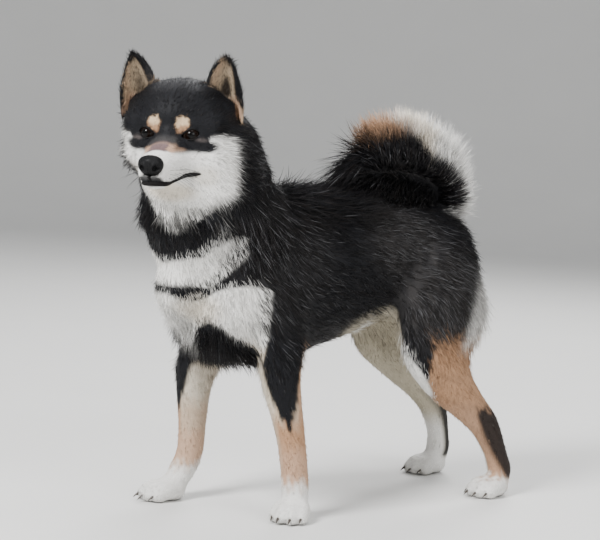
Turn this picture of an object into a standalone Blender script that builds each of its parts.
"""A life-size black and tan shiba inu, standing, with its head turned to its left.

Metres, +Z up. The dog faces -Y and its left side is towards +X. The flesh is blocked out with lofted
tubes and ellipsoids, remeshed into one body, and parted into named pieces with thin cuts. The long coat
of the tail, the cheeks, the neck and the backs of the thighs is made of flat tapered locks.
"""

import math
import random

import bmesh
import bpy
from mathutils import Matrix, Vector
from mathutils.bvhtree import BVHTree

GAP = 0.0003
VOXEL = 0.0028
BODY_TRIANGLES = 3600
SOLE = 0.0015
LOCK_SEED = 11

# The head's own frame: its origin between the ears at eye level, the muzzle towards -Y
HEAD_PLACE = Vector((0.006, -0.250, 0.473))
HEAD_YAW, HEAD_PITCH = math.radians(42), math.radians(4)
EYE = Vector((0.0255, -0.0355, 0.0018))
EYE_RADIUS = 0.0105
GAZE_YAW, GAZE_PITCH = math.radians(18), math.radians(-4)
LID = 0.0014
LID_POINTS = 16
LID_HALF_WIDTH, LID_UPPER, LID_LOWER, LID_SLANT = 0.0100, 0.0070, 0.0056, 0.16
NOSE = Vector((0, -0.1050, -0.0305))
NOSE_SIZE = (0.0200, 0.0140, 0.0175)
NOSTRIL = (0.0078, -0.0112, -0.0022)
NOSTRIL_SIZE = (0.0030, 0.0050, 0.0040)

# x, y, z, half width, half height of the sections along the trunk, from the breast to the buttocks
TRUNK = [
    (0, -0.227, 0.287, 0.044, 0.050),
    (0, -0.207, 0.287, 0.074, 0.083),
    (0, -0.165, 0.294, 0.084, 0.106),
    (0, -0.110, 0.301, 0.086, 0.117),
    (0, -0.050, 0.309, 0.084, 0.109),
    (0, 0.010, 0.315, 0.081, 0.100),
    (0, 0.070, 0.321, 0.076, 0.087),
    (0, 0.120, 0.324, 0.073, 0.079),
    (0, 0.155, 0.320, 0.069, 0.075),
    (0, 0.178, 0.310, 0.060, 0.068),
    (0, 0.192, 0.300, 0.044, 0.050),
]
NECK = [
    (0.000, -0.136, 0.280, 0.082, 0.084),
    (0.000, -0.166, 0.335, 0.088, 0.094),
    (0.000, -0.194, 0.382, 0.086, 0.092),
    (0.002, -0.209, 0.425, 0.080, 0.084),
    (0.004, -0.218, 0.460, 0.072, 0.076),
    (0.004, -0.226, 0.478, 0.056, 0.058),
]
# In the head's frame: x, y, z, half width, half height
MUZZLE = [
    (0, -0.010, -0.022, 0.046, 0.040),
    (0, -0.040, -0.027, 0.036, 0.032),
    (0, -0.062, -0.0320, 0.0290, 0.0255),
    (0, -0.085, -0.0350, 0.0240, 0.0215),
    (0, -0.101, -0.0365, 0.0195, 0.0180),
]
# In the head's frame, for the left side: centre, radii of the skull, forehead, temple, brow, bridge,
# eye socket, cheekbone, cheek, jowl, throat and the root of the ear
HEAD_FORMS = [
    ((0, 0.014, 0.018), (0.064, 0.062, 0.051)),
    ((0, -0.008, 0.020), (0.050, 0.042, 0.038)),
    ((0.044, 0.000, 0.006), (0.027, 0.038, 0.033)),
    ((0.025, -0.026, 0.0150), (0.021, 0.021, 0.012)),
    ((0, -0.036, -0.004), (0.020, 0.022, 0.018)),
    ((0.026, -0.020, 0.0000), (0.027, 0.026, 0.020)),
    ((0.030, -0.026, -0.015), (0.021, 0.019, 0.013)),
    ((0.038, 0.006, -0.020), (0.036, 0.040, 0.036)),
    ((0.022, -0.026, -0.030), (0.024, 0.032, 0.025)),
    ((0, 0.000, -0.044), (0.046, 0.048, 0.026)),
    ((0.049, 0.012, 0.025), (0.021, 0.020, 0.022)),
]
# The line of the mouth in the head's frame, from its middle to its left corner
MOUTH = [
    (0, -0.105, -0.0460),
    (0.008, -0.103, -0.0475),
    (0.016, -0.094, -0.0495),
    (0.022, -0.080, -0.0500),
    (0.027, -0.067, -0.0485),
    (0.031, -0.057, -0.0450),
]
MUZZLE_PIVOT = -0.080
LIP_RADIUS, GROOVE_RADIUS = 0.0018, 0.0009
# The left ear in the head's frame
EAR_TIP = Vector((0.0605, -0.002, 0.092))
EAR_INNER = Vector((0.031, 0.006, 0.046))
EAR_OUTER = Vector((0.074, 0.013, 0.014))
EAR_CUP, EAR_THICK, EAR_FULL = 0.019, 0.0045, 1.8

# Points down each leg: x, y, z, half width, half depth
LEGS = {
    "fore_left": [
        (0.058, -0.150, 0.290, 0.034, 0.052),
        (0.066, -0.128, 0.225, 0.031, 0.041),
        (0.071, -0.126, 0.176, 0.0255, 0.0285),
        (0.075, -0.111, 0.110, 0.0195, 0.0210),
        (0.076, -0.103, 0.066, 0.0185, 0.0195),
        (0.078, -0.101, 0.036, 0.0180, 0.0180),
        (0.082, -0.104, 0.018, 0.0170, 0.0150),
    ],
    "fore_right": [
        (-0.058, -0.155, 0.290, 0.034, 0.052),
        (-0.068, -0.146, 0.220, 0.031, 0.041),
        (-0.075, -0.157, 0.160, 0.0250, 0.0280),
        (-0.078, -0.156, 0.105, 0.0195, 0.0210),
        (-0.080, -0.156, 0.066, 0.0185, 0.0195),
        (-0.081, -0.166, 0.040, 0.0180, 0.0180),
        (-0.082, -0.180, 0.018, 0.0170, 0.0150),
    ],
    "hind_left": [
        (0.040, 0.150, 0.322, 0.046, 0.060),
        (0.057, 0.136, 0.268, 0.045, 0.078),
        (0.070, 0.125, 0.215, 0.036, 0.066),
        (0.074, 0.142, 0.168, 0.0270, 0.0400),
        (0.072, 0.185, 0.128, 0.0195, 0.0270),
        (0.070, 0.216, 0.100, 0.0165, 0.0235),
        (0.070, 0.238, 0.062, 0.0160, 0.0185),
        (0.070, 0.248, 0.034, 0.0165, 0.0180),
        (0.070, 0.240, 0.018, 0.0165, 0.0150),
    ],
    "hind_right": [
        (-0.040, 0.150, 0.322, 0.046, 0.060),
        (-0.059, 0.144, 0.268, 0.045, 0.078),
        (-0.072, 0.150, 0.218, 0.036, 0.058),
        (-0.080, 0.182, 0.174, 0.0270, 0.0370),
        (-0.085, 0.228, 0.134, 0.0195, 0.0270),
        (-0.088, 0.258, 0.102, 0.0165, 0.0235),
        (-0.090, 0.273, 0.062, 0.0160, 0.0185),
        (-0.091, 0.275, 0.034, 0.0165, 0.0180),
        (-0.091, 0.265, 0.018, 0.0165, 0.0150),
    ],
}
# Middle of each paw on the floor, and its turn outwards or inwards about Z
PAWS = {
    "fore_left": ((0.088, -0.112), 36),
    "fore_right": ((-0.083, -0.193), -10),
    "hind_left": ((0.070, 0.230), 2),
    "hind_right": ((-0.091, 0.255), -6),
}
# Middle of the four toes of each paw, forward of its middle
CLAW_LEAN = math.radians(110)
TOES = [(-0.0180, -0.012), (-0.0075, -0.022), (0.0075, -0.022), (0.0180, -0.012)]
# For the left side: centre, radii of the shoulder, the breast, the rump and the inner thigh
BODY_FORMS = [
    ((0.046, -0.160, 0.290), (0.040, 0.050, 0.080)),
    ((0, -0.172, 0.260), (0.086, 0.060, 0.068)),
    ((0.034, 0.156, 0.312), (0.044, 0.046, 0.066)),
    ((0.022, 0.140, 0.280), (0.036, 0.052, 0.060)),
]

# x, y, z, half width, half height of the tail's core, curled forward over the back
TAIL = [
    (0.000, 0.166, 0.362, 0.0280, 0.0280),
    (0.000, 0.176, 0.398, 0.0300, 0.0300),
    (0.002, 0.163, 0.428, 0.0310, 0.0310),
    (0.005, 0.130, 0.446, 0.0310, 0.0310),
    (0.009, 0.090, 0.455, 0.0290, 0.0290),
    (0.012, 0.047, 0.449, 0.0230, 0.0230),
    (0.014, 0.014, 0.438, 0.0120, 0.0120),
]

# Where the body is parted, for the left side: two corners of the box round each piece, feet first
LIMB_BOXES = {
    "fore_paw": ((0.040, -0.26, -0.02), (0.160, -0.05, 0.046)),
    "hind_foot": ((0.035, 0.14, -0.02), (0.160, 0.34, 0.104)),
    "hind_shank": ((0.035, 0.05, -0.02), (0.160, 0.34, 0.180)),
    "thigh": ((0.030, 0.012, -0.02), (0.160, 0.30, 0.292)),
    "fore_leg": ((0.036, -0.26, -0.02), (0.160, -0.05, 0.205)),
}
# The sloping planes over which the head (in its own frame) and the neck lie: a point, the slope in degrees
PLANES = {"head": ((0, 0.045, -0.048), 20), "neck": ((0, -0.17, 0.348), 33)}
# The planes that part the tail, leaning as its coat does
TAIL_PLANES = {"tail_tip": ((0.009, 0.090, 0.455), 122), "tail_middle": ((0.002, 0.163, 0.428), 74)}

# The point that the tail curls round
TAIL_CENTRE = Vector((0.004, 0.105, 0.400))

# A lock's rings, from its root: share of its length, share of its width
LOCK_RINGS = [(0.0, 0.70), (0.35, 1.00), (0.72, 0.72)]
LOCK_FLAT = 0.30
LOCK_SINK = 0.0030
# Length, width, lift off the coat and bend back along it, in degrees
CHEEK_LOCK = (0.034, 0.0135, 25, 12)
NECK_LOCK = (0.050, 0.0210, 21, 9)
THIGH_LOCK = (0.044, 0.0170, 28, 7)
CHEEK_LIE = Vector((0.30, 0.80, -0.45))
NECK_LOCKS, NECK_ROWS, NECK_BACK = 15, (0.012, 0.036, 0.060), 0.45
# Round the tail, from its outer side: degrees, length, width, lift
TAIL_ROUND = [
    (0, 0.052, 0.0220, 44),
    (42, 0.052, 0.0220, 40),
    (84, 0.048, 0.0210, 32),
    (130, 0.044, 0.0200, 38),
    (180, 0.044, 0.0200, 46),
    (230, 0.044, 0.0200, 38),
    (276, 0.048, 0.0210, 32),
    (318, 0.052, 0.0220, 40),
]
TAIL_ROWS, TAIL_BEND, TAIL_REACH = 12, 6, (0.09, 0.94)

# Colour and roughness
COATS = {
    "black_coat": ((0.012, 0.012, 0.014), 0.6),
    "cream_coat": ((0.80, 0.74, 0.62), 0.7),
    "tan_coat": ((0.48, 0.22, 0.09), 0.7),
    "leather": ((0.010, 0.010, 0.012), 0.3),
}


def clear_scene():
    for obj in list(bpy.data.objects):
        bpy.data.objects.remove(obj)


def material(name, colour, roughness):
    made = bpy.data.materials.new(name)
    made.use_nodes = True
    shader = made.node_tree.nodes["Principled BSDF"]
    shader.inputs["Base Color"].default_value = (*colour, 1)
    shader.inputs["Roughness"].default_value = roughness
    shader.inputs["Metallic"].default_value = 0.0
    return made


def new_object(name, bm, folder):
    mesh = bpy.data.meshes.new(name)
    bm.to_mesh(mesh)
    bm.free()
    obj = bpy.data.objects.new(name, mesh)
    folder.objects.link(obj)
    return obj


def new_helper(name, bm, folder):
    """A cutter or a guide, which isn't a part of the dog."""
    helper = new_object(name, bm, folder)
    helper.hide_render = True
    helper.display_type = "WIRE"
    return helper


def copy_of(obj, name, folder):
    made = bpy.data.objects.new(name, obj.data.copy())
    folder.objects.link(made)
    return made


def apply_modifiers(obj):
    graph = bpy.context.evaluated_depsgraph_get()
    mesh = bpy.data.meshes.new_from_object(obj.evaluated_get(graph))
    obj.modifiers.clear()
    obj.data = mesh


def boolean(obj, other, operation):
    """Joins or cuts obj with one helper, or with all in a collection, and removes what it used."""
    step = obj.modifiers.new(operation.lower(), "BOOLEAN")
    step.operation = operation
    step.solver = "MANIFOLD"
    used = [other]
    if isinstance(other, bpy.types.Collection):
        step.operand_type = "COLLECTION"
        step.collection = other
        used = list(other.objects)
    else:
        step.object = other
    apply_modifiers(obj)
    for helper in used:
        bpy.data.objects.remove(helper)


def keep_largest(obj):
    """Drops every closed surface of the object but its largest."""
    bm = bmesh.new()
    bm.from_mesh(obj.data)
    waiting = set(bm.faces)
    surfaces = []
    while waiting:
        found = [waiting.pop()]
        for face in found:
            for edge in face.edges:
                beside = [other for other in edge.link_faces if other in waiting]
                waiting.difference_update(beside)
                found.extend(beside)
        surfaces.append(found)
    surfaces.sort(key=lambda faces: sum(face.calc_area() for face in faces))
    loose = [face for faces in surfaces[:-1] for face in faces]
    bmesh.ops.delete(bm, geom=loose, context="FACES")
    bm.to_mesh(obj.data)
    bm.free()


def head_matrix():
    turn = Matrix.Rotation(HEAD_YAW, 4, "Z") @ Matrix.Rotation(HEAD_PITCH, 4, "X")
    return Matrix.Translation(HEAD_PLACE) @ turn


def on_side(point, side):
    """A point given for the dog's left, mirrored where side is -1."""
    return Vector((side * point[0], point[1], point[2]))


def between(stations, steps):
    """A Catmull-Rom curve through the stations, steps rows for each gap."""
    rows = []
    last = len(stations) - 1
    for i in range(last):
        near = [stations[min(max(k, 0), last)] for k in (i - 1, i, i + 1, i + 2)]
        for j in range(steps):
            t = j / steps
            row = []
            for a, b, c, d in zip(*near):
                row.append(b + 0.5 * t * (c - a + t * (2 * a - 5 * b + 4 * c - d + t * (3 * (b - c) + d - a))))
            rows.append(row)
    rows.append(list(stations[-1]))
    return rows


def tube(bm, stations, steps=4, sides=20, place=Matrix(), across=(1, 0, 0)):
    """A closed tube with elliptical sections, rounded at both ends."""
    rows = between(stations, steps)
    points = [Vector(row[:3]) for row in rows]
    rings = []
    for i, row in enumerate(rows):
        along = (points[min(i + 1, len(rows) - 1)] - points[max(i - 1, 0)]).normalized()
        side = (Vector(across) - along * along.dot(across)).normalized()
        rings.append((points[i], side, along.cross(side), along, row[3], row[4]))
    ends = []
    for ring, sign in ((rings[0], -1), (rings[-1], 1)):
        caps = []
        for angle in (30, 60):
            shrink = math.cos(math.radians(angle))
            push = sign * math.sin(math.radians(angle)) * min(ring[4], ring[5])
            caps.append((ring[0] + ring[3] * push, *ring[1:4], ring[4] * shrink, ring[5] * shrink))
        ends.append(caps)
    loops = []
    for centre, side, up, _, width, height in ends[0][::-1] + rings + ends[1]:
        loop = []
        for k in range(sides):
            angle = math.tau * k / sides
            spot = centre + side * width * math.cos(angle) + up * height * math.sin(angle)
            loop.append(bm.verts.new(place @ spot))
        loops.append(loop)
    for low, high in zip(loops, loops[1:]):
        for k in range(sides):
            bm.faces.new((low[k], low[(k + 1) % sides], high[(k + 1) % sides], high[k]))
    bm.faces.new(loops[0][::-1])
    bm.faces.new(loops[-1])


def ellipsoid(bm, centre, radii, place=Matrix(), segments=24):
    shape = place @ Matrix.Translation(centre) @ Matrix.Diagonal((*radii, 1))
    bmesh.ops.create_uvsphere(bm, u_segments=segments, v_segments=segments // 2, radius=1, matrix=shape)


def box(bm, low, high, place=Matrix(), grow=0.0):
    """A box between two corners in the given frame, grown on every side."""
    low = Vector(low) - Vector((grow, grow, grow))
    high = Vector(high) + Vector((grow, grow, grow))
    shape = Matrix.Translation((low + high) / 2) @ Matrix.Diagonal((*(high - low), 1))
    bmesh.ops.create_cube(bm, size=1, matrix=place @ shape)


def paw(bm, middle, turn):
    """Four toes and the ball behind them."""
    place = Matrix.Translation((*middle, 0)) @ Matrix.Rotation(math.radians(turn), 4, "Z")
    ellipsoid(bm, (0, 0.010, 0.016), (0.0200, 0.022, 0.0185), place)
    for x, y in TOES:
        ellipsoid(bm, (x * 0.92, y + 0.010, 0.0150), (0.0085, 0.017, 0.0125), place)
        ellipsoid(bm, (x, y, 0.0100), (0.0080, 0.0115, 0.0105), place)


def flesh_forms(bm):
    tube(bm, TRUNK)
    tube(bm, NECK)
    for centre, radii in BODY_FORMS:
        for side in (1, -1):
            ellipsoid(bm, on_side(centre, side), radii)
    for stations in LEGS.values():
        tube(bm, stations)
    for middle, turn in PAWS.values():
        paw(bm, middle, turn)
    tube(bm, MUZZLE, place=head_matrix())
    for centre, radii in HEAD_FORMS:
        for side in (1, -1):
            ellipsoid(bm, on_side(centre, side), radii, head_matrix())


def softness(point):
    """How much a point is smoothed: the trunk most, the muzzle and the feet least."""
    local = head_matrix().inverted() @ point
    head = 1 - min(max((local.length - 0.085) / 0.05, 0), 1)
    muzzle = min(max((-0.030 - local.y) / 0.030, 0), 1)
    trunk = min(max((point.z - 0.10) / 0.10, 0), 1)
    return head * (0.30 - 0.18 * muzzle) + (1 - head) * (0.03 + 0.97 * trunk)


def whole_body(folder):
    """One closed surface of the dog without ears, tail and locks, standing on flat soles."""
    bm = bmesh.new()
    flesh_forms(bm)
    body = new_object("torso", bm, folder)
    remesh = body.modifiers.new("skin", "REMESH")
    remesh.mode = "VOXEL"
    remesh.voxel_size = VOXEL
    even = body.modifiers.new("even", "SMOOTH")
    even.iterations = 6
    apply_modifiers(body)
    group = body.vertex_groups.new(name="soft")
    for v in body.data.vertices:
        group.add([v.index], softness(v.co), "REPLACE")
    soft = body.modifiers.new("soft", "SMOOTH")
    soft.vertex_group = "soft"
    soft.iterations = 60
    apply_modifiers(body)
    body.vertex_groups.clear()
    faces = sum(len(p.vertices) - 2 for p in body.data.polygons)
    fewer = body.modifiers.new("fewer", "DECIMATE")
    fewer.ratio = BODY_TRIANGLES / faces
    apply_modifiers(body)
    return body


def cut_soles(body, helpers):
    bm = bmesh.new()
    box(bm, (-0.5, -0.5, -0.1), (0.5, 0.5, SOLE))
    boolean(body, new_helper("floor", bm, helpers), "DIFFERENCE")


def part_off(body, name, low, high, place, folder, helpers):
    """Takes the piece inside a box from the body as a node of its own, with a thin gap between them."""
    piece = copy_of(body, name, folder)
    for obj, operation, grow in ((piece, "INTERSECT", 0.0), (body, "DIFFERENCE", GAP)):
        bm = bmesh.new()
        box(bm, low, high, place, grow)
        boolean(obj, new_helper("part", bm, helpers), operation)
        keep_largest(obj)
    return piece


def part_body(body, folder, helpers):
    nodes = {}
    for name, (low, high) in LIMB_BOXES.items():
        for side, word in ((1, "left"), (-1, "right")):
            ends = sorted((side * low[0], side * high[0]))
            corners = (ends[0], *low[1:]), (ends[1], *high[1:])
            node = name + "_" + word
            nodes[node] = part_off(body, node, *corners, Matrix(), folder, helpers)
    for name, (point, tilt) in PLANES.items():
        # Everything above a sloping plane, in a box that reaches far past the body
        place = Matrix.Translation(point) @ Matrix.Rotation(math.radians(tilt), 4, "X")
        if name == "head":
            place = head_matrix() @ place
        nodes[name] = part_off(body, name, (-0.3, -0.3, 0), (0.3, 0.25, 0.4), place, folder, helpers)
    nodes["torso"] = body
    return nodes


def gaze(side):
    """The eye's frame: its origin at the eyeball's centre, -Y out through the pupil."""
    turn = Matrix.Rotation(side * GAZE_YAW, 4, "Z") @ Matrix.Rotation(GAZE_PITCH, 4, "X")
    return head_matrix() @ Matrix.Translation(on_side(EYE, side)) @ turn


def add_eye(side, folder):
    bm = bmesh.new()
    ellipsoid(bm, (0, 0, 0), (EYE_RADIUS,) * 3, gaze(side), 14)
    return new_object("eye_left" if side > 0 else "eye_right", bm, folder)


def shape_lids(head, side, helpers):
    """A lid over the eyeball, its socket, and the opening between the lids."""
    bm = bmesh.new()
    ellipsoid(bm, (0, 0, 0), (EYE_RADIUS + LID,) * 3, gaze(side), 12)
    boolean(head, new_helper("lid", bm, helpers), "UNION")
    bm = bmesh.new()
    ellipsoid(bm, (0, 0, 0), (EYE_RADIUS + GAP,) * 3, gaze(side), 14)
    boolean(head, new_helper("socket", bm, helpers), "DIFFERENCE")
    bm = bmesh.new()
    rim = []
    for k in range(LID_POINTS):
        angle = math.tau * k / LID_POINTS
        height = LID_UPPER if math.sin(angle) > 0 else LID_LOWER
        x = LID_HALF_WIDTH * math.cos(angle)
        rim.append((side * x, 0, LID_SLANT * x + height * math.sin(angle)))
    inner = [bm.verts.new(gaze(side) @ Vector(spot)) for spot in rim]
    outer = [bm.verts.new(gaze(side) @ (Vector(spot) - Vector((0, 0.03, 0)))) for spot in rim]
    for k in range(LID_POINTS):
        after = (k + 1) % LID_POINTS
        bm.faces.new((inner[k], inner[after], outer[after], outer[k]))
    bm.faces.new(inner)
    bm.faces.new(outer)
    bmesh.ops.recalc_face_normals(bm, faces=bm.faces)
    boolean(head, new_helper("opening", bm, helpers), "DIFFERENCE")


def mouth_line(head, grow):
    """Stations along the closed mouth, from corner to corner, on the surface of the muzzle."""
    inverse = head_matrix().inverted()
    surface = BVHTree.FromPolygons(
        [inverse @ v.co for v in head.data.vertices], [p.vertices for p in head.data.polygons]
    )
    stations = []
    for x, y, z in [on_side(p, -1) for p in MOUTH[:0:-1]] + [Vector(p) for p in MOUTH]:
        axis = Vector((0, max(y, MUZZLE_PIVOT), z))
        outward = (Vector((x, y, z)) - axis).normalized()
        found = surface.ray_cast(axis + outward * 0.1, -outward)[0]
        stations.append((*found, grow, grow))
    return stations


def shape_mouth(head, helpers):
    """Lips as a low roll on each side of a groove."""
    lips = mouth_line(head, LIP_RADIUS)
    bm = bmesh.new()
    tube(bm, lips, 1, 6, head_matrix(), (0, 0, 1))
    bmesh.ops.recalc_face_normals(bm, faces=bm.faces)
    boolean(head, new_helper("lips", bm, helpers), "UNION")
    bm = bmesh.new()
    outward = [(x * 1.03, y - 0.0012, z, GROOVE_RADIUS, GROOVE_RADIUS) for x, y, z, _, _ in lips]
    tube(bm, outward, 1, 5, head_matrix(), (0, 0, 1))
    bmesh.ops.recalc_face_normals(bm, faces=bm.faces)
    boolean(head, new_helper("groove", bm, helpers), "DIFFERENCE")
    keep_largest(head)


def nose_pad(folder, grow=0.0):
    """A cushion, wider above than below, from a coarse cage."""
    bm = bmesh.new()
    bmesh.ops.create_cube(bm, size=2)
    for v in bm.verts:
        narrow = 1.0 if v.co.z > 0 else 0.66
        forward = -0.0015 if v.co.z > 0 else 0.0015
        v.co = Vector((v.co.x * NOSE_SIZE[0] * narrow, v.co.y * NOSE_SIZE[1] + forward, v.co.z * NOSE_SIZE[2]))
    for v in bm.verts:
        v.co = head_matrix() @ (v.co + NOSE)
    pad = new_object("nose", bm, folder)
    smooth = pad.modifiers.new("round", "SUBSURF")
    smooth.levels = smooth.render_levels = 2
    if grow:
        wider = pad.modifiers.new("gap", "DISPLACE")
        wider.mid_level = 0
        wider.strength = grow
    apply_modifiers(pad)
    return pad


def add_nose(head, folder, helpers):
    cut = nose_pad(helpers, GAP)
    boolean(head, cut, "DIFFERENCE")
    nose = nose_pad(folder)
    bm = bmesh.new()
    for side in (1, -1):
        turn = Matrix.Rotation(side * math.radians(28), 4, "Y")
        place = head_matrix() @ Matrix.Translation(NOSE + on_side(NOSTRIL, side)) @ turn
        ellipsoid(bm, (0, 0, 0), NOSTRIL_SIZE, place, 10)
    boolean(nose, new_helper("nostrils", bm, helpers), "DIFFERENCE")
    keep_largest(nose)
    return nose


def ear_point(across, height, side):
    """A point of the ear's leaf: across from -1 at its inner edge to 1 at its outer, height 0 to 1."""
    foot = EAR_OUTER - EAR_INNER
    centre = (EAR_OUTER + EAR_INNER) / 2
    lean = EAR_TIP - centre
    back = lean.cross(foot).normalized()
    half = 0.5 * (1 - height**EAR_FULL) ** 0.9 + 0.02
    cup = EAR_CUP * (1 - across * across) * (1 - height) ** 0.7
    spot = centre + lean * height + foot * across * half + back * cup
    return head_matrix() @ on_side(spot, side)


def add_ear(side, folder):
    """A cupped leaf, open to the front, thick at its root and thin at its rim."""
    bm = bmesh.new()
    bmesh.ops.create_grid(bm, x_segments=6, y_segments=7, size=1)
    weights = [1 - 0.6 * max(v.co.x**4, ((v.co.y + 1) / 2) ** 2) for v in bm.verts]
    for v in bm.verts:
        v.co = ear_point(v.co.x, (v.co.y + 1) / 2, side)
    if side < 0:
        bmesh.ops.reverse_faces(bm, faces=bm.faces)
    ear = new_object("ear_left" if side > 0 else "ear_right", bm, folder)
    group = ear.vertex_groups.new(name="thick")
    for i, weight in enumerate(weights):
        group.add([i], weight, "REPLACE")
    shell = ear.modifiers.new("thickness", "SOLIDIFY")
    shell.thickness = EAR_THICK
    shell.offset = -1
    shell.vertex_group = "thick"
    apply_modifiers(ear)
    ear.vertex_groups.clear()
    return ear


def clear_of(obj, neighbour, helpers):
    """Cuts the object clear of a neighbour, with the usual gap."""
    grown = copy_of(neighbour, "grown", helpers)
    grown.hide_render = True
    grown.display_type = "WIRE"
    wider = grown.modifiers.new("gap", "DISPLACE")
    wider.mid_level = 0
    wider.strength = GAP * 1.3
    apply_modifiers(grown)
    boolean(obj, grown, "DIFFERENCE")
    keep_largest(obj)


def add_claws(nodes, helpers):
    for foot, (middle, turn) in PAWS.items():
        place = Matrix.Translation((*middle, 0)) @ Matrix.Rotation(math.radians(turn), 4, "Z")
        claws = bpy.data.collections.new("claws")
        helpers.children.link(claws)
        for x, y in TOES:
            bm = bmesh.new()
            lean = Matrix.Translation((x * 1.02, y - 0.0105, 0.0085)) @ Matrix.Rotation(CLAW_LEAN, 4, "X")
            sizes = {"radius1": 0.0025, "radius2": 0.0008, "depth": 0.0085}
            bmesh.ops.create_cone(bm, segments=6, cap_ends=True, matrix=place @ lean, **sizes)
            new_helper("claw", bm, claws)
        boolean(nodes[foot.replace("_", "_paw_" if "fore" in foot else "_foot_")], claws, "UNION")
        bpy.data.collections.remove(claws)


def add_lock(folder, chance, root, normal, lie, sizes, walls=()):
    """A flat tapered lock on a sunk root, lifted off the coat, bent back, and kept inside the walls."""
    length, width, lift, bend = sizes
    length *= chance.uniform(0.85, 1.1)
    lie = (lie - normal * lie.dot(normal)).normalized()
    lie = Matrix.Rotation(math.radians(chance.uniform(-9, 9)), 3, normal) @ lie
    across = normal.cross(lie)
    centre = root - normal * LOCK_SINK
    bm = bmesh.new()
    loops = []
    done = 0.0
    for i, (share, breadth) in enumerate([*LOCK_RINGS, (1.0, 0.0)]):
        angle = math.radians(lift - bend * i)
        heading = lie * math.cos(angle) + normal * math.sin(angle)
        up = normal * math.cos(angle) - lie * math.sin(angle)
        centre = centre + heading * length * (share - done)
        done = share
        for point, inward in walls:
            short = width * breadth / 2 + 2 * GAP - (centre - point).dot(inward)
            centre = centre + inward * max(short, 0)
        if breadth == 0:
            tip = bm.verts.new(centre)
            continue
        half = width * breadth / 2
        corners = (across * half, up * half * LOCK_FLAT, -across * half, -up * half * LOCK_FLAT)
        loops.append([bm.verts.new(centre + corner) for corner in corners])
    bm.faces.new(loops[0])
    for k in range(4):
        after = (k + 1) % 4
        for low, high in zip(loops, loops[1:]):
            bm.faces.new((low[k], low[after], high[after], high[k]))
        bm.faces.new((loops[-1][k], loops[-1][after], tip))
    bmesh.ops.recalc_face_normals(bm, faces=bm.faces)
    new_helper("lock", bm, folder)


def surface_of(obj):
    return BVHTree.FromPolygons([v.co for v in obj.data.vertices], [p.vertices for p in obj.data.polygons])


def fuse_locks(obj, locks, helpers):
    """Joins a collection of locks to their node."""
    boolean(obj, locks, "UNION")
    helpers.children.unlink(locks)
    bpy.data.collections.remove(locks)
    keep_largest(obj)


def new_locks(helpers):
    locks = bpy.data.collections.new("locks")
    helpers.children.link(locks)
    return locks


def add_cheek_locks(head, helpers):
    """Rows of locks behind the cheeks, swept back and down."""
    locks = new_locks(helpers)
    chance = random.Random(LOCK_SEED)
    surface = surface_of(head)
    for side in (1, -1):
        for row in range(5):
            for column in range(3):
                azimuth = math.radians(58 + 24 * column + 8 * (row % 2))
                out = Vector((math.sin(azimuth), -math.cos(azimuth), 0))
                start = Vector((0, 0.005, 0.004 - 0.014 * row)) + out * 0.2
                turned = [head_matrix().to_3x3() @ on_side(v, side) for v in (-out, CHEEK_LIE)]
                root, normal, _, _ = surface.ray_cast(head_matrix() @ on_side(start, side), turned[0])
                add_lock(locks, chance, root, normal, turned[1], CHEEK_LOCK)
    fuse_locks(head, locks, helpers)


def add_neck_locks(neck, helpers):
    """Rows of locks round the neck, lying down towards the shoulders and the breast."""
    locks = new_locks(helpers)
    chance = random.Random(LOCK_SEED + 1)
    surface = surface_of(neck)
    point, tilt = PLANES["neck"]
    place = Matrix.Translation(point) @ Matrix.Rotation(math.radians(tilt), 4, "X")
    for row, height in enumerate(NECK_ROWS):
        for k in range(NECK_LOCKS):
            angle = math.tau * (k + 0.5 * (row % 2)) / NECK_LOCKS
            out = Vector((math.cos(angle), math.sin(angle), 0))
            start = place @ (out * 0.25 + Vector((0, 0, height)))
            root, normal, _, _ = surface.ray_cast(start, place.to_3x3() @ -out)
            if out.y < NECK_BACK:
                add_lock(locks, chance, root, normal, place.to_3x3() @ Vector((0, 0, -1)), NECK_LOCK)
    fuse_locks(neck, locks, helpers)


def add_thigh_locks(thigh, side, helpers):
    """The breeches: rows of locks down the back of the thigh."""
    locks = new_locks(helpers)
    chance = random.Random(LOCK_SEED + 2)
    surface = surface_of(thigh)
    for row in range(6):
        for column in range(3):
            angle = math.radians(100 - 32 * column - 8 * (row % 2))
            out = Vector((side * math.cos(angle), math.sin(angle), 0))
            start = on_side((0.058, 0.130, 0.282 - 0.018 * row), side) + out * 0.2
            root, normal, _, _ = surface.ray_cast(start, -out)
            add_lock(locks, chance, root, normal, Vector((0, 0.25, -0.97)), THIGH_LOCK)
    fuse_locks(thigh, locks, helpers)


def tail_walls():
    """For each length of the tail, the planes that it stays within: a point, the direction inwards."""
    walls = {"tail_root": [], "tail_middle": [], "tail_tip": []}
    for name, (point, tilt) in TAIL_PLANES.items():
        upwards = Matrix.Rotation(math.radians(tilt), 3, "X") @ Vector((0, 0, 1))
        walls[name].append((Vector(point), upwards))
        before = "tail_middle" if name == "tail_tip" else "tail_root"
        walls[before].append((Vector(point), -upwards))
    return walls


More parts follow.
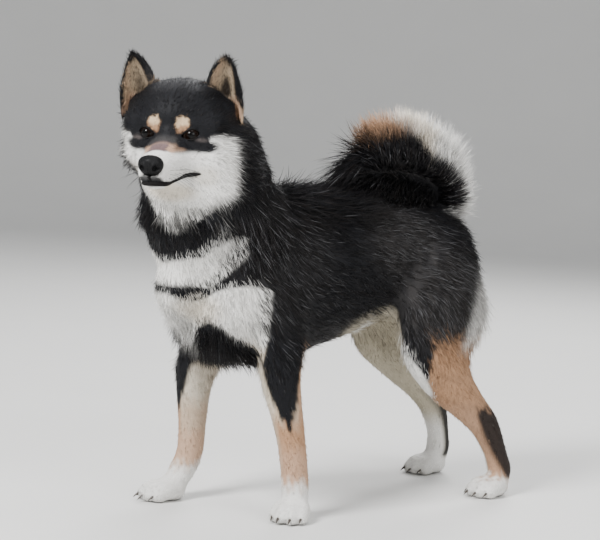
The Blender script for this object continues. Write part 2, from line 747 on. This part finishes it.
def add_tail(folder, helpers):
    """The tail's core, parted where it bends, and its brush of locks, longest on the outer side."""
    bm = bmesh.new()
    tube(bm, TAIL, 3, 12)
    tail = new_object("tail_root", bm, folder)
    nodes = {"tail_root": tail}
    for name, (point, tilt) in TAIL_PLANES.items():
        place = Matrix.Translation(point) @ Matrix.Rotation(math.radians(tilt), 4, "X")
        nodes[name] = part_off(tail, name, (-0.3, -0.3, 0), (0.3, 0.3, 0.4), place, folder, helpers)
    walls = tail_walls()
    locks = {name: new_locks(helpers) for name in nodes}
    chance = random.Random(LOCK_SEED + 3)
    rows = between(TAIL, 6)
    for i in range(TAIL_ROWS):
        share = TAIL_REACH[0] + (TAIL_REACH[1] - TAIL_REACH[0]) * i / (TAIL_ROWS - 1)
        at = round(share * (len(rows) - 2))
        point, ahead = (Vector(rows[k][:3]) for k in (at, at + 1))
        along = (ahead - point).normalized()
        outer = point - TAIL_CENTRE
        outer = (outer - along * outer.dot(along)).normalized()
        across = along.cross(outer)
        for degrees, length, width, lift in TAIL_ROUND:
            angle = math.radians(degrees + 21 * (i % 2))
            normal = outer * math.cos(angle) + across * math.sin(angle)
            root = point + normal * rows[at][3]
            for name, bounds in walls.items():
                if min((root - spot).dot(inward) for spot, inward in bounds) > width / 2:
                    sizes = (length, width, lift, TAIL_BEND)
                    add_lock(locks[name], chance, root, normal, along, sizes, bounds)
    for name, obj in nodes.items():
        fuse_locks(obj, locks[name], helpers)
    return nodes


def paint(nodes):
    """Gives each node its main colour; the fine markings belong to the coat."""
    black, cream, tan, leather = (material(name, *values) for name, values in COATS.items())
    for name, obj in nodes.items():
        coat = black
        if "paw" in name or "foot" in name:
            coat = cream
        elif "shank" in name or "fore_leg" in name:
            coat = tan
        elif "eye" in name or name == "nose":
            coat = leather
        obj.data.materials.clear()
        obj.data.materials.append(coat)


def centre_on_floor(nodes):
    """Moves all nodes so that the box round them stands on the origin."""
    points = [v.co for obj in nodes for v in obj.data.vertices]
    low, high = (Vector(map(pick, zip(*points))) for pick in (min, max))
    shift = Vector((-(low.x + high.x) / 2, -(low.y + high.y) / 2, -low.z))
    for obj in nodes:
        obj.data.transform(Matrix.Translation(shift))


def main():
    clear_scene()
    folder = bpy.data.collections.new("shiba_inu")
    helpers = bpy.data.collections.new("helpers")
    for made in (folder, helpers):
        bpy.context.scene.collection.children.link(made)
    body = whole_body(folder)
    cut_soles(body, helpers)
    nodes = part_body(body, folder, helpers)
    head = nodes["head"]
    for side, word in ((1, "left"), (-1, "right")):
        nodes["eye_" + word] = add_eye(side, folder)
        shape_lids(head, side, helpers)
    shape_mouth(head, helpers)
    nodes["nose"] = add_nose(head, folder, helpers)
    for side, word in ((1, "left"), (-1, "right")):
        nodes["ear_" + word] = add_ear(side, folder)
        clear_of(nodes["ear_" + word], head, helpers)
        thigh = nodes["thigh_" + word]
        add_thigh_locks(thigh, side, helpers)
        for neighbour in ("hind_shank_" + word, "torso"):
            clear_of(thigh, nodes[neighbour], helpers)
    add_claws(nodes, helpers)
    add_cheek_locks(head, helpers)
    add_neck_locks(nodes["neck"], helpers)
    clear_of(nodes["neck"], nodes["torso"], helpers)
    clear_of(head, nodes["neck"], helpers)
    tail = add_tail(folder, helpers)
    for obj in tail.values():
        clear_of(obj, nodes["torso"], helpers)
    nodes.update(tail)
    paint(nodes)
    centre_on_floor(list(nodes.values()))


main()
